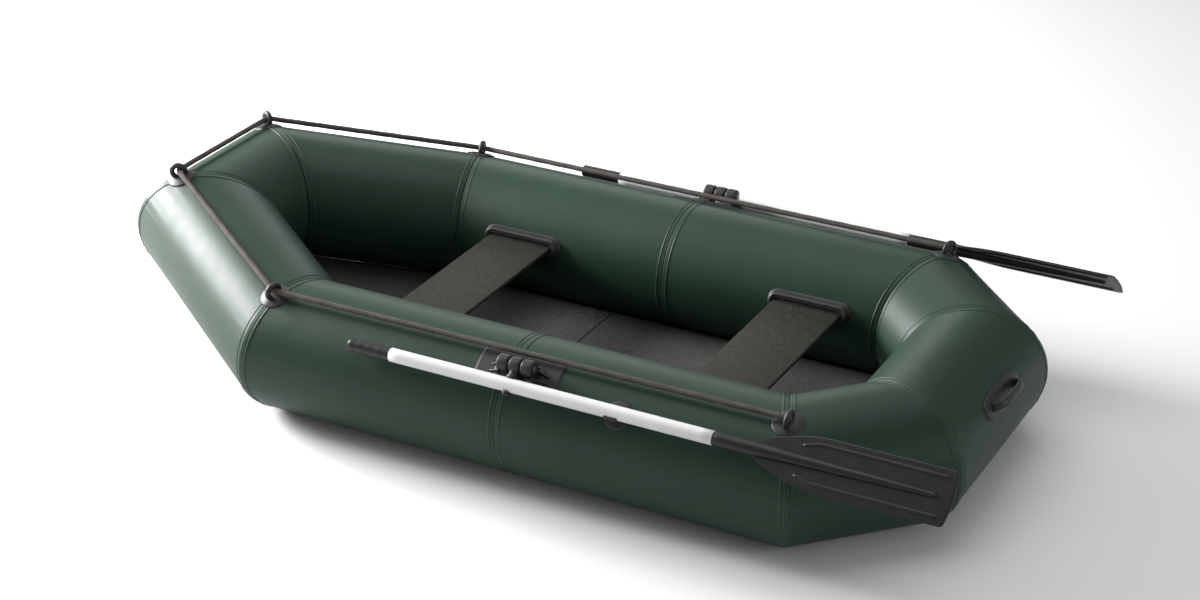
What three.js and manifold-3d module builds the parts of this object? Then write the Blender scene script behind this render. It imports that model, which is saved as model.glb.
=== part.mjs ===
// Inflatable rowing boat: a ring of air tubes with a flat bottom, two bench seats,
// a lifeline and a pair of pinned oars stowed along the side tubes.
// Millimetres, +Z up, bow towards -X, port side towards -Y, keel line on z = 0.

import * as THREE from 'three';
import { mergeVertices } from 'three/addons/utils/BufferGeometryUtils.js';
import Module from 'manifold-3d';

const wasm = await Module();
wasm.setup();

// Driving dimensions of the hull
const tubeRadius = 177;
const tubeSides = 32;
const skin = 1.2;
const sideY = 452;
const straightHalf = 702;
const sternX = 911;
const sternY = 236;
const bowX = -1174;
const bowY = 158;
const bowLift = 100;
const gap = 0.3;
const lap = 0.5;
const bulkheadX = 2;

// Floor
const bottomZ = 26;
const bottomThickness = 1.2;
const panelZ = 29;
const panelThickness = 6;
const floorClearance = 4;
const panelJoint = 3;
const joinerX = 218;
const joinerWidth = 75;
const joinerFlange = 1.2;
const joinerClearance = 9;
const floorFrontX = -700;

// Seats
const seatX = 435;
const seatWidth = 195;
const seatTopZ = 230;
const seatThickness = 10;
const seatEndY = 270;
const holderLength = 228;
const holderHeight = 50;
const holderDepth = 20;
const holderPolar = -75;
const holderWall = 14;
const holderRecess = 5;

// Lifeline and eyelets
const eyeletPolar = 21.6;
const eyeletPadRadius = 39;
const eyeletPadRise = 5;
const ropeRadius = 6.5;
const ropeRise = 19;
const loopHalfWidth = 18;
const loopHalfHeight = 17.6;
const loopCentre = 16;
const loopBar = 7.3;
const ropeTail = 6;
const ropeBend = 6;

// Oars, oarlocks and clips
const oarY = -610;
const oarZ = 314;
const oarTilt = 43;
const shaftRadius = 17.5;
const shaftWall = 1.5;
const shaftStart = -298;
const shaftEnd = 583;
const plugLength = 60;
const gripStart = -419;
const gripRadius = 17.5;
const gripRounding = 4;
const shankRadius = 16.6;
const bladeStart = 680;
const bladeShoulder = 870;
const bladeEnd = 1172;
const bladeWidth = 136;
const bladeCorner = 9;
const bladeThickness = 4;
const tipBulge = 7;
const spineEnd = 1132;
const spineEndRadius = 5;
const ribStart = 840;
const ribEnd = 1150;
const ribOffset = 48;
const ribSize = 6;
const lockX = 37;
const armLength = 52;
const knuckleRadius = 20;
const knuckleWidth = 33;
const axleRadius = 5;
const pinRadius = 4.5;
const patchLength = 228;
const patchShift = -6;
const patchWidth = 104;
const patchPolar = 36;
const patchThickness = 2;
const baseLength = 164;
const baseWidth = 62;
const baseHeight = 26;
const axleHeadRadius = 8;
const axleHead = 3;
const knobRadius = 9;
const knobHeight = 10;
const clipX = 320;
const clipPolar = 49;
const clipPadRadius = 36;
const clipPadRise = 5;
const clipWidth = 34;
const clipLip = 5;
const clipHeel = 14;
const clipReach = 12;

// Stern handle
const handleElevation = 27;
const handleLength = 220;
const handleBaseWidth = 66;
const handleBaseRise = 4;
const handleGripLength = 150;
const handleGripWidth = 24;
const handleGripTop = 42;
const handleGripThickness = 14;

// Valves
const valveX = 590;
const valvePolar = -58;
const valveBore = 11;
const valveBarrel = 18;
const valveFlange = 29;
const valveFlangeRise = 4;
const valveRise = 9;
const valveDepth = 24;
const valveCapThickness = 4;
const deep = 40;

const rad = THREE.MathUtils.degToRad;
const vec = (x, y, z) => new THREE.Vector3(x, y, z);
const axisX = vec(1, 0, 0);
const flatRadius = (inner) => inner / Math.cos(Math.PI / tubeSides);

const looks = {
  hull: [0x35493c, 0.42, 0],
  bottom: [0x24302a, 0.6, 0],
  bulkhead: [0x35493c, 0.6, 0],
  floor: [0x3a3a3b, 0.75, 0],
  joiner: [0x4a4a4a, 0.7, 0],
  seat: [0x4d473f, 0.7, 0],
  moulding: [0x26282a, 0.5, 0],
  rope: [0x4a4744, 0.85, 0],
  shaft: [0xe6e6e6, 0.35, 0],
  metal: [0xb8b8b8, 0.35, 1],
};

const boat = new THREE.Group();

// ---- solids -------------------------------------------------------------

function toSolid(geometry) {
  const bare = geometry.clone();
  bare.deleteAttribute('normal');
  bare.deleteAttribute('uv');
  const merged = mergeVertices(bare, 1e-3);
  const position = merged.attributes.position;
  const corners = [];
  for (let i = 0; i < merged.index.count; i += 3) {
    const [a, b, c] = [0, 1, 2].map((k) => merged.index.getX(i + k));
    if (a !== b && b !== c && a !== c) corners.push([a, b, c]);
  }
  const at = (k) => vec().fromBufferAttribute(position, k);
  const sixVolumes = corners.reduce((sum, [a, b, c]) => sum + at(a).dot(at(b).cross(at(c))), 0);
  const outward = corners.flatMap(([a, b, c]) => (sixVolumes > 0 ? [a, b, c] : [a, c, b]));
  const triVerts = new Uint32Array(outward);
  const vertProperties = new Float32Array(position.array);
  return new wasm.Manifold(new wasm.Mesh({ numProp: 3, vertProperties, triVerts }));
}

function toGeometry(solid) {
  const mesh = solid.getMesh();
  const geometry = new THREE.BufferGeometry();
  geometry.setAttribute('position', new THREE.BufferAttribute(new Float32Array(mesh.vertProperties), 3));
  geometry.setIndex(new THREE.BufferAttribute(new Uint32Array(mesh.triVerts), 1));
  return geometry;
}

function mirrored(geometry) {
  const copy = geometry.clone();
  copy.applyMatrix4(new THREE.Matrix4().makeScale(1, -1, 1));
  const index = copy.index;
  for (let i = 0; i < index.count; i += 3) {
    const second = index.getX(i + 1);
    index.setX(i + 1, index.getX(i + 2));
    index.setX(i + 2, second);
  }
  return copy;
}

const union = (parts) => parts.reduce((all, part) => all.add(part));

function box(width, depth, height, matrix) {
  return toSolid(new THREE.BoxGeometry(width, depth, height).applyMatrix4(matrix));
}

function lathe(profile, sides, matrix) {
  const points = profile.map(([x, y]) => new THREE.Vector2(x, y));
  return toSolid(new THREE.LatheGeometry(points, sides).rotateX(Math.PI / 2).applyMatrix4(matrix));
}

function disc(radius, low, high, sides, matrix) {
  return lathe([[0, low], [radius, low], [radius, high], [0, high]], sides, matrix);
}

function extruded(shape, depth, matrix) {
  const geometry = new THREE.ExtrudeGeometry(shape, { depth, bevelEnabled: false, curveSegments: 8 });
  return toSolid(geometry.translate(0, 0, -depth / 2).applyMatrix4(matrix));
}

const shift = (x, y, z) => new THREE.Matrix4().makeTranslation(x, y, z);

function frameAt(origin, xAxis, zAxis) {
  const yAxis = zAxis.clone().cross(xAxis).normalize();
  return new THREE.Matrix4().makeBasis(xAxis, yAxis, zAxis).setPosition(origin);
}

// A frame that stands on the port side tube: x along the boat, z outwards from the tube.
// The polar angle is measured from the tube's top, positive outboard.
function onPortTube(x, polar, radius) {
  const normal = vec(0, -Math.sin(rad(polar)), Math.cos(rad(polar)));
  const origin = vec(x, -sideY, tubeRadius).addScaledVector(normal, radius);
  return frameAt(origin, axisX, normal);
}

function put(name, look, solid, mirror = false) {
  const [color, roughness, metalness] = looks[look];
  const material = new THREE.MeshStandardMaterial({ color, roughness, metalness });
  const geometry = toGeometry(solid);
  const mesh = new THREE.Mesh(mirror ? mirrored(geometry) : geometry, material);
  mesh.name = name;
  boat.add(mesh);
}

function putBothSides(stem, look, solid) {
  put(`${stem}_port`, look, solid);
  put(`${stem}_starboard`, look, solid, true);
}

// ---- hull ring ----------------------------------------------------------

const ring = [
  { at: vec(bowX, -bowY, tubeRadius + bowLift), next: 'bow_port_tube' },
  { at: vec(-straightHalf, -sideY, tubeRadius), next: 'port_fore_tube' },
  { at: vec(0, -sideY, tubeRadius), next: 'port_aft_tube' },
  { at: vec(straightHalf, -sideY, tubeRadius), next: 'stern_port_tube' },
  { at: vec(sternX, -sternY, tubeRadius), next: 'stern_tube' },
  { at: vec(sternX, sternY, tubeRadius), next: 'stern_starboard_tube' },
  { at: vec(straightHalf, sideY, tubeRadius), next: 'starboard_aft_tube' },
  { at: vec(0, sideY, tubeRadius), next: 'starboard_fore_tube' },
  { at: vec(-straightHalf, sideY, tubeRadius), next: 'bow_starboard_tube' },
  { at: vec(bowX, bowY, tubeRadius + bowLift), next: 'bow_tube' },
];

const ringAt = (i) => ring[(i + ring.length) % ring.length];
const directionAfter = (i) => ringAt(i + 1).at.clone().sub(ringAt(i).at).normalize();
const mitreAt = (i) => directionAfter(i - 1).add(directionAfter(i)).normalize();

// A straight length of tube whose two ends are cut by the mitre planes of the ring.
function mitredTube(i, outer, inner, retreat) {
  const start = ringAt(i).at;
  const along = directionAfter(i);
  const length = start.distanceTo(ringAt(i + 1).at);
  const up = vec(0, 0, 1).addScaledVector(along, -along.z).normalize();
  const side = along.clone().cross(up);
  const profile = [[inner, 0], [outer, 0], [outer, length], [inner, length]];
  if (inner > 0) profile.push([inner, 0]);
  const points = profile.map(([x, y]) => new THREE.Vector2(x, y));
  const geometry = new THREE.LatheGeometry(points, tubeSides, Math.PI / tubeSides);
  const position = geometry.attributes.position;
  for (let k = 0; k < position.count; k += 1) {
    const offset = side.clone().multiplyScalar(position.getX(k)).addScaledVector(up, position.getZ(k));
    const atEnd = position.getY(k) > length / 2;
    const mitre = mitreAt(atEnd ? i + 1 : i);
    const reach = (atEnd ? length - retreat : retreat) - offset.dot(mitre) / along.dot(mitre);
    const point = start.clone().add(offset).addScaledVector(along, reach);
    position.setXYZ(k, point.x, point.y, point.z);
  }
  return toSolid(geometry);
}

function grownHull(growth) {
  return union(ring.map((_, i) => mitredTube(i, flatRadius(tubeRadius + growth), 0, -lap)));
}

const hullSolid = grownHull(gap);

// A pad that lies on the hull: the part of a block within the stated height above the skin.
function padOnHull(block, rise) {
  return block.intersect(grownHull(rise)).subtract(hullSolid);
}

function addHull() {
  const outer = flatRadius(tubeRadius);
  ring.forEach(({ next }, i) => {
    let tube = mitredTube(i, outer, outer - skin, gap / 2);
    if (next === 'port_fore_tube') tube = tube.subtract(valveHole(-valveX));
    if (next === 'port_aft_tube') tube = tube.subtract(valveHole(valveX));
    put(next, 'hull', tube);
  });
}

// The walls that divide the ring into a bow chamber and a stern chamber.
function addBulkheads() {
  const radius = flatRadius(tubeRadius) - skin - gap;
  const points = [[0, 0], [radius, 0], [radius, skin], [0, skin]].map(([x, y]) => new THREE.Vector2(x, y));
  const wall = new THREE.LatheGeometry(points, tubeSides, Math.PI / tubeSides).rotateZ(-Math.PI / 2);
  wall.translate(bulkheadX, -sideY, tubeRadius);
  putBothSides('bulkhead', 'bulkhead', toSolid(wall));
}

// ---- bottom and floor ---------------------------------------------------

const plan = new THREE.Shape(ring.map(({ at }) => new THREE.Vector2(at.x, at.y)));
const planPrism = extruded(plan, 4 * tubeRadius, shift(0, 0, tubeRadius));

// A profile drawn in x and z, drawn out across the boat.
function acrossBoat(shape, width) {
  return extruded(shape, width, new THREE.Matrix4().makeRotationX(Math.PI / 2));
}

function slab(fromX, toX, low, thickness) {
  const shape = new THREE.Shape();
  shape.moveTo(fromX, low);
  shape.lineTo(toX, low);
  shape.lineTo(toX, low + thickness);
  shape.lineTo(fromX, low + thickness);
  return acrossBoat(shape, 2 * sideY).intersect(planPrism);
}

function addBottom() {
  const shape = new THREE.Shape();
  shape.moveTo(bowX, bottomZ + bowLift);
  shape.lineTo(-straightHalf, bottomZ);
  shape.lineTo(sternX, bottomZ);
  shape.lineTo(sternX, bottomZ + bottomThickness);
  shape.lineTo(-straightHalf, bottomZ + bottomThickness);
  shape.lineTo(bowX, bottomZ + bowLift + bottomThickness);
  put('bottom_sheet', 'bottom', acrossBoat(shape, 2 * sideY).intersect(planPrism).subtract(hullSolid));
}

function addFloor() {
  const clear = grownHull(floorClearance);
  const panels = [
    ['fore', floorFrontX, -joinerX - panelJoint],
    ['mid', -joinerX + panelJoint, joinerX - panelJoint],
    ['aft', joinerX + panelJoint, sternX],
  ];
  for (const [place, fromX, toX] of panels) {
    put(`floor_panel_${place}`, 'floor', slab(fromX, toX, panelZ, panelThickness).subtract(clear));
  }
  const roomy = grownHull(joinerClearance);
  const half = joinerWidth / 2;
  const webHalf = panelJoint - gap;
  const low = panelZ - gap - joinerFlange;
  const webHeight = panelThickness + 2 * gap + 2 * joinerFlange;
  for (const [place, x] of [['fore', -joinerX], ['aft', joinerX]]) {
    const top = slab(x - half, x + half, panelZ + panelThickness + gap, 2 * joinerFlange);
    const foot = slab(x - half / 2, x + half / 2, low, joinerFlange);
    const web = slab(x - webHalf, x + webHalf, low + joinerFlange / 2, webHeight);
    put(`floor_joiner_${place}`, 'joiner', union([top, foot, web]).subtract(roomy));
  }
}

// ---- seats --------------------------------------------------------------

function plank(x, growth) {
  const middle = shift(x, 0, seatTopZ - seatThickness / 2);
  return box(seatWidth + 2 * growth, 2 * (seatEndY + growth), seatThickness + 2 * growth, middle);
}

function stadium(length, height) {
  const half = length / 2 - height / 2;
  const shape = new THREE.Shape();
  shape.absarc(half, 0, height / 2, -Math.PI / 2, Math.PI / 2, false);
  shape.absarc(-half, 0, height / 2, Math.PI / 2, 1.5 * Math.PI, false);
  return shape;
}

function seatHolder(x) {
  const outline = stadium(holderLength, holderHeight);
  const body = extruded(outline, 2 * holderDepth, onPortTube(x, holderPolar, tubeRadius));
  const dish = stadium(holderLength - 2 * holderWall, holderHeight - 2 * holderWall);
  const recess = extruded(dish, 2 * holderRecess, onPortTube(x, holderPolar, tubeRadius + holderDepth));
  return body.subtract(hullSolid).subtract(recess).subtract(plank(x, gap));
}

function addSeats() {
  for (const [end, x] of [['fore', -seatX], ['aft', seatX]]) {
    put(`seat_${end}`, 'seat', plank(x, 0));
    putBothSides(`seat_holder_${end}`, 'moulding', seatHolder(x));
  }
}

// ---- lifeline -----------------------------------------------------------

// The outward direction of an eyelet that sits on a mitre of the ring.
function eyeletNormal(i) {
  const along = mitreAt(i);
  const up = vec(0, 0, 1).addScaledVector(along, -along.z).normalize();
  const outboard = along.clone().cross(up);
  return outboard.multiplyScalar(Math.sin(rad(eyeletPolar))).addScaledVector(up, Math.cos(rad(eyeletPolar)));
}

// The distance from the ring's corner out to the skin along the eyelet's direction.
function skinReach(i) {
  const normal = eyeletNormal(i);
  const along = directionAfter(i);
  const across = normal.clone().addScaledVector(along, -normal.dot(along));
  return tubeRadius / across.length();
}

function onMitre(i, rise) {
  return ringAt(i).at.clone().addScaledVector(eyeletNormal(i), skinReach(i) + rise);
}

function eyelet(i) {
  const normal = eyeletNormal(i);
  const frame = frameAt(onMitre(i, 0), mitreAt(i), normal);
  const pad = padOnHull(disc(eyeletPadRadius, -deep, deep, 20, frame), eyeletPadRise);
  const ring = new THREE.TorusGeometry(loopHalfWidth, loopBar, 10, 28);
  ring.scale(1, loopHalfHeight / loopHalfWidth, 1).translate(0, loopCentre, 0);
  const stand = new THREE.Matrix4().makeBasis(vec(0, 1, 0), vec(0, 0, 1), axisX);
  const loop = toSolid(ring.applyMatrix4(frame.clone().multiply(stand)));
  return pad.add(loop).subtract(hullSolid);
}

const corner = {
  bowPort: 0, forePort: 1, aftPort: 3, aftStarboard: 6, foreStarboard: 8, bowStarboard: 9,
};

function addEyelets() {
  for (const [end, i] of [['bow', corner.bowPort], ['fore', corner.forePort], ['aft', corner.aftPort]]) {
    putBothSides(`eyelet_${end}`, 'moulding', eyelet(i));
  }
}

// A curve that passes through its points at even parameters, straight from one to the next.
class Route extends THREE.Curve {
  constructor(points) {
    super();
    this.points = points;
  }

  getPoint(t) {
    const last = this.points.length - 1;
    const k = Math.min(Math.floor(t * last), last - 1);
    return this.points[k].clone().lerp(this.points[k + 1], t * last - k);
  }

  getPointAt(t) {
    return this.getPoint(t);
  }
}

function ropePoints() {
  const { bowPort, forePort, aftPort, aftStarboard, foreStarboard, bowStarboard } = corner;
  const order = [aftPort, forePort, bowPort, bowStarboard, foreStarboard, aftStarboard];
  const stops = order.map((i) => onMitre(i, ropeRise));
  const last = stops.length - 1;
  const first = stops[0].clone().sub(stops[1]).setLength(ropeTail).add(stops[0]);
  const final = stops[last].clone().sub(stops[last - 1]).setLength(ropeTail).add(stops[last]);
  const points = [first, stops[0]];
  for (let k = 1; k < last; k += 1) {
    const back = stops[k - 1].clone().sub(stops[k]).setLength(ropeBend);
    const ahead = stops[k + 1].clone().sub(stops[k]).setLength(ropeBend);
    const middle = stops[k].clone().addScaledVector(back.clone().add(ahead), 1 / 4);
    points.push(stops[k].clone().add(back), middle, stops[k].clone().add(ahead));
  }
  points.push(stops[last], final);
  return points;
}

function addLifeline() {
  const points = ropePoints();
  const round = new THREE.Shape();
  round.absarc(0, 0, ropeRadius, 0, 2 * Math.PI, false);
  const extrudePath = new Route(points);
  const options = { steps: points.length - 1, extrudePath, curveSegments: 5, bevelEnabled: false };
  put('lifeline_rope', 'rope', toSolid(new THREE.ExtrudeGeometry(round, options)));
}

// ---- oars ---------------------------------------------------------------

const oarDown = vec(0, -Math.cos(rad(oarTilt)), -Math.sin(rad(oarTilt)));
const oarFrame = frameAt(vec(0, oarY, oarZ), axisX, oarDown);
const hingeY = oarY - armLength * oarDown.y;
const hingeZ = oarZ - armLength * oarDown.z;
const hingeFrame = frameAt(vec(lockX, hingeY, hingeZ), axisX, oarDown);
const alongX = new THREE.Matrix4().makeBasis(vec(0, 1, 0), vec(0, 0, 1), axisX);

function rodAlongX(radius, fromX, toX, y, z, sides) {
  return disc(radius, fromX, toX, sides, shift(0, y, z).multiply(alongX));
}

function pinHole(radius) {
  return disc(radius, -armLength, armLength, 16, oarFrame.clone().multiply(shift(lockX, 0, 0)));
}

const plugRadius = shaftRadius - shaftWall - gap;

function oarShaft() {
  const outer = rodAlongX(shaftRadius, shaftStart, shaftEnd, oarY, oarZ, 24);
  const inner = rodAlongX(shaftRadius - shaftWall, shaftStart - 1, shaftEnd + 1, oarY, oarZ, 24);
  return outer.subtract(inner).subtract(pinHole(pinRadius + gap));
}

// A handle end that plugs into the shaft.
function oarGrip() {
  const mouth = shaftStart - gap;
  const plugEnd = shaftStart + plugLength;
  const butt = gripRadius - gripRounding;
  const profile = [[0, gripStart], [butt, gripStart], [gripRadius, gripStart + gripRounding],
    [gripRadius, mouth], [plugRadius, mouth], [plugRadius, plugEnd], [0, plugEnd]];
  return lathe(profile, 24, shift(0, oarY, oarZ).multiply(alongX));
}

function bladeOutline() {
  const half = bladeWidth / 2;
  const swell = (bladeStart + bladeShoulder) / 2;
  const side = bladeEnd - tipBulge;
  const shape = new THREE.Shape();
  shape.moveTo(bladeStart, -shankRadius / 2);
  shape.lineTo(bladeStart, -shankRadius);
  shape.quadraticCurveTo(swell, -half * 0.7, bladeShoulder, -half);
  shape.lineTo(side - bladeCorner, -half);
  shape.quadraticCurveTo(side, -half, side, -half + bladeCorner);
  shape.quadraticCurveTo(bladeEnd + tipBulge, 0, side, half - bladeCorner);
  shape.quadraticCurveTo(side, half, side - bladeCorner, half);
  shape.lineTo(bladeShoulder, half);
  shape.quadraticCurveTo(swell, half * 0.7, bladeStart, shankRadius);
  return shape;
}

// A flat blade with a tapering round spine and two ribs; the spine's root plugs into the shaft.
function oarBlade() {
  const lay = new THREE.Matrix4().makeBasis(axisX, vec(0, 0, 1), vec(0, -1, 0));
  const plate = extruded(bladeOutline(), bladeThickness, oarFrame.clone().multiply(lay));
  const mouth = shaftEnd + gap;
  const root = shaftEnd - plugLength;
  const profile = [[0, root], [plugRadius, root], [plugRadius, mouth], [shankRadius, mouth],
    [shankRadius, bladeStart + ribSize], [spineEndRadius, spineEnd], [0, spineEnd]];
  const spine = lathe(profile, 20, shift(0, oarY, oarZ).multiply(alongX));
  const ribs = [-1, 1].map((side) => {
    const place = shift((ribStart + ribEnd) / 2, 0, side * ribOffset);
    return box(ribEnd - ribStart, ribSize, ribSize, oarFrame.clone().multiply(place));
  });
  return union([plate, spine, ...ribs]);
}

function oarPin() {
  const start = knuckleRadius + 2;
  const knob = armLength + shaftRadius + 1;
  const top = knob + knobHeight;
  const profile = [[0, start], [pinRadius, start], [pinRadius, knob], [knobRadius, knob],
    [knobRadius, top - 3], [knobRadius - 2, top], [0, top]];
  return lathe(profile, 16, hingeFrame);
}

// A rod along the hinge line that reaches well past the knuckles.
function alongHinge(radius) {
  return rodAlongX(radius, lockX - 90, lockX + 90, hingeY, hingeZ, 24);
}

// The room that the oar's shaft needs along its whole length.
function shaftRoom(clearance) {
  return rodAlongX(shaftRadius + clearance, gripStart, bladeEnd, oarY, oarZ, 24);
}

function oarlockArm() {
  const half = knuckleWidth / 2 - gap;
  const knuckle = rodAlongX(knuckleRadius, lockX - half, lockX + half, hingeY, hingeZ, 24);
  const reach = armLength - shaftRadius + 4;
  const stem = box(2 * half, 24, reach, hingeFrame.clone().multiply(shift(0, 0, reach / 2)));
  const pinRoom = disc(pinRadius + gap, knuckleRadius + 2 - gap, 2 * armLength, 16, hingeFrame);
  const rooms = union([alongHinge(axleRadius + gap), shaftRoom(gap), pinRoom]);
  return union([knuckle, stem]).subtract(rooms);
}

const patchFrame = (radius) => onPortTube(lockX + patchShift, patchPolar, radius);

function oarlockPatch() {
  const block = box(patchLength, patchWidth, 120, patchFrame(tubeRadius));
  return padOnHull(block, gap + patchThickness);
}

// One outer knuckle of the hinge with the foot that carries it.
function fixedKnuckle(middle) {
  const half = knuckleWidth / 2 - gap;
  const barrel = rodAlongX(knuckleRadius, middle - half, middle + half, hingeY, hingeZ, 24);
  const centre = vec(middle, hingeY, hingeZ);
  const toTube = vec(0, -sideY - hingeY, tubeRadius - hingeZ).normalize();
  const footHeight = 44;
  const footFrame = frameAt(centre.addScaledVector(toTube, footHeight / 2), axisX, toTube);
  return barrel.add(box(2 * half, 34, footHeight, footFrame));
}

function oarlockBase() {
  const under = grownHull(2 * gap + patchThickness);
  const baseFrame = onPortTube(lockX, patchPolar, tubeRadius);
  const plate = box(baseLength, baseWidth, baseHeight, baseFrame);
  const knuckles = [-knuckleWidth, knuckleWidth].map((x) => fixedKnuckle(lockX + x));
  const rib = new THREE.Shape();
  const foot = baseLength / 2 - 6;
  const head = 1.5 * knuckleWidth + 4;
  rib.moveTo(-foot, 0);
  rib.lineTo(foot, 0);
  rib.lineTo(head, 24);
  rib.lineTo(-head, 24);
  const standing = new THREE.Matrix4().makeBasis(axisX, vec(0, 0, 1), vec(0, -1, 0));
  const ribs = [-20, 0, 20].map((y) => {
    const place = patchFrame(tubeRadius - 6).multiply(shift(-patchShift, y, 0)).multiply(standing);
    return extruded(rib, 6, place);
  });
  const half = knuckleWidth / 2;
  const armRoom = rodAlongX(knuckleRadius + 1.5, lockX - half, lockX + half, hingeY, hingeZ, 24);
  const stemRoom = box(knuckleWidth, 40, 3 * armLength, hingeFrame);
  const rooms = union([armRoom, stemRoom, shaftRoom(2), alongHinge(axleRadius + gap)]);
  return union([plate, ...knuckles, ...ribs]).subtract(under).subtract(rooms);
}

function oarlockAxle() {
  const half = 1.5 * knuckleWidth;
  const end = half + axleHead;
  const profile = [[0, -end], [axleHeadRadius, -end], [axleHeadRadius, -half], [axleRadius, -half],
    [axleRadius, half], [axleHeadRadius, half], [axleHeadRadius, end], [0, end]];
  return lathe(profile, 20, shift(lockX, hingeY, hingeZ).multiply(alongX));
}

function oarClip() {
  const frame = onPortTube(clipX, clipPolar, tubeRadius);
  const pad = padOnHull(disc(clipPadRadius, -deep, deep, 20, frame), clipPadRise);
  const centreRise = Math.hypot(oarY + sideY, oarZ - tubeRadius) - tubeRadius;
  const lip = shaftRadius + gap;
  const hook = new THREE.Shape();
  hook.moveTo(-lip - clipLip, 0);
  hook.lineTo(clipHeel, 0);
  hook.lineTo(clipHeel, centreRise - 4);
  hook.lineTo(-lip, centreRise + clipReach);
  hook.lineTo(-lip - clipLip, centreRise + clipReach - 2);
  const stand = new THREE.Matrix4().makeBasis(vec(0, 1, 0), vec(0, 0, 1), axisX);
  const cradle = extruded(hook, clipWidth, frame.clone().multiply(stand));
  return union([pad, cradle]).subtract(hullSolid).subtract(shaftRoom(gap));
}

function addOars() {
  putBothSides('oarlock_patch', 'moulding', oarlockPatch());
  putBothSides('oarlock_base', 'moulding', oarlockBase());
  putBothSides('oarlock_axle', 'metal', oarlockAxle());
  putBothSides('oarlock_arm', 'moulding', oarlockArm());
  putBothSides('oar_pin', 'metal', oarPin());
  putBothSides('oar_shaft', 'shaft', oarShaft());
  putBothSides('oar_grip', 'moulding', oarGrip());
  putBothSides('oar_blade', 'moulding', oarBlade());
  putBothSides('oar_clip', 'moulding', oarClip());
}

// ---- stern carry handle -------------------------------------------------

function addHandle() {
  const normal = vec(Math.cos(rad(handleElevation)), 0, Math.sin(rad(handleElevation)));
  const origin = vec(sternX, 0, tubeRadius).addScaledVector(normal, tubeRadius);
  const frame = frameAt(origin, vec(0, 1, 0), normal);
  const half = handleLength / 2;
  const shoulder = half * 0.72;
  const wide = handleBaseWidth / 2;
  const narrow = wide * 0.45;
  const base = new THREE.Shape();
  base.moveTo(-half, -narrow);
  base.lineTo(-shoulder, -wide);
  base.lineTo(shoulder, -wide);
  base.lineTo(half, -narrow);
  base.lineTo(half, narrow);
  base.lineTo(shoulder, wide);
  base.lineTo(-shoulder, wide);
  base.lineTo(-half, narrow);
  put('carry_handle_base', 'moulding', padOnHull(extruded(base, 2 * deep, frame), handleBaseRise));
  const grip = handleGripLength / 2;
  const top = handleGripTop;
  const low = top - handleGripThickness;
  const arch = new THREE.Shape();
  arch.moveTo(-grip, 0);
  arch.lineTo(-grip + 22, 0);
  arch.lineTo(-grip + 30, low);
  arch.lineTo(grip - 30, low);
  arch.lineTo(grip - 22, 0);
  arch.lineTo(grip, 0);
  arch.lineTo(grip - 12, top - 6);
  arch.lineTo(grip - 20, top);
  arch.lineTo(-grip + 20, top);
  arch.lineTo(-grip + 12, top - 6);
  const stand = new THREE.Matrix4().makeBasis(axisX, vec(0, 0, 1), vec(0, -1, 0));
  const bow = extruded(arch, handleGripWidth, frame.clone().multiply(stand));
  put('carry_handle_grip', 'moulding', bow.subtract(grownHull(handleBaseRise + gap)));
}

// ---- valves -------------------------------------------------------------

const valveFrame = (x) => onPortTube(x, valvePolar, tubeRadius);

function valveHole(x) {
  return disc(valveBarrel + gap, -deep, deep, 20, valveFrame(x));
}

function valveBody(x) {
  const frame = valveFrame(x);
  const low = -valveDepth;
  const barrel = [[valveBore, low], [valveBarrel, low], [valveBarrel, valveRise], [valveBore, valveRise],
    [valveBore, low]];
  const under = -2 * valveFlangeRise;
  const flange = [[valveBore, under], [valveFlange, under], [valveFlange, valveFlangeRise],
    [valveBore, valveFlangeRise], [valveBore, under]];
  const hinge = box(12, 8, 12, valveFrame(x).multiply(shift(0, valveBarrel + 2, 3)));
  const outside = lathe(flange, 24, frame).add(hinge).subtract(hullSolid);
  return outside.add(lathe(barrel, 24, frame)).subtract(disc(valveBore, -deep, deep, 24, frame));
}

// A disc that closes the bore from inside, on a stem that a finger can press.
function valvePlunger(x) {
  const wide = valveBore - gap;
  const stem = 3;
  const profile = [[0, -20], [wide, -20], [wide, -17], [stem, -15], [stem, stem], [0, stem]];
  return lathe(profile, 20, valveFrame(x));
}

function valveCap(x) {
  const low = valveRise + gap;
  const top = low + valveCapThickness;
  const plug = 8.5;
  const rim = valveBarrel + 1;
  const profile = [[0, low - 3], [plug, low - 3], [plug, low], [rim, low], [rim, top - 1],
    [rim - 2, top], [0, top]];
  const tongue = box(10, 10, 3, valveFrame(x).multiply(shift(0, rim, low + 1.5)));
  return lathe(profile, 24, valveFrame(x)).add(tongue);
}

function addValves() {
  for (const [end, x] of [['fore', -valveX], ['aft', valveX]]) {
    put(`valve_body_${end}`, 'moulding', valveBody(x));
    put(`valve_plunger_${end}`, 'moulding', valvePlunger(x));
    put(`valve_cap_${end}`, 'moulding', valveCap(x));
  }
}

addHull();
addBulkheads();
addBottom();
addFloor();
addSeats();
addEyelets();
addLifeline();
addOars();
addHandle();
addValves();

// The origin is the centre of the whole object's footprint, on the ground.
const bowEnd = bowX - tubeRadius;
boat.position.x = -(bowEnd + bladeEnd) / 2;

export default boat;
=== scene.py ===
"""Inflatable rowing boat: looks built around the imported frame. Metres, +Z up, bow towards -X."""
import bpy
import math
import numpy as np
from mathutils import Matrix, Vector


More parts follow.
